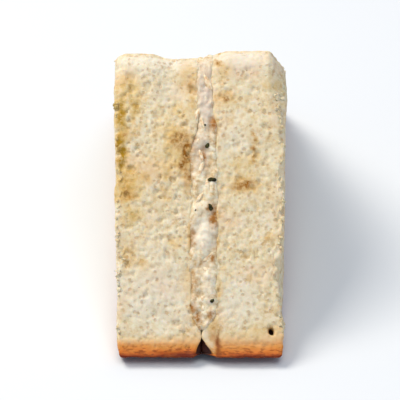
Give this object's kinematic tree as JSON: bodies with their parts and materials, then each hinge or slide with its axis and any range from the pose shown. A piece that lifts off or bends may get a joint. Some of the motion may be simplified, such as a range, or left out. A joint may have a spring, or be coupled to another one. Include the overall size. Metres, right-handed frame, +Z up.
{
  "type": "chicken spread sandwich",
  "caption": "Triangular white bread sandwich with a herbed chicken spread between its slices, standing on its crust with the cut point upwards.",
  "frame": {"origin": "middle of the base of the whole sandwich, on the surface it stands on", "axes": "+Z up to the cut point, Y from the front cut face to the back one, X across the slices"},
  "size_m": [0.0348, 0.0884, 0.0455],
  "materials": {
    "white_bread": "dry open crumb with small pores, golden to brown crust on the base and the loaf corners",
    "chicken_spread": "moist, lumpy and faintly glossy, with shreds of meat and flecks of herb"
  },
  "bodies": {
    "root": {"bread_slice_left": "white_bread", "bread_slice_right": "white_bread", "chicken_spread": "chicken_spread"}
  },
  "joints": []
}
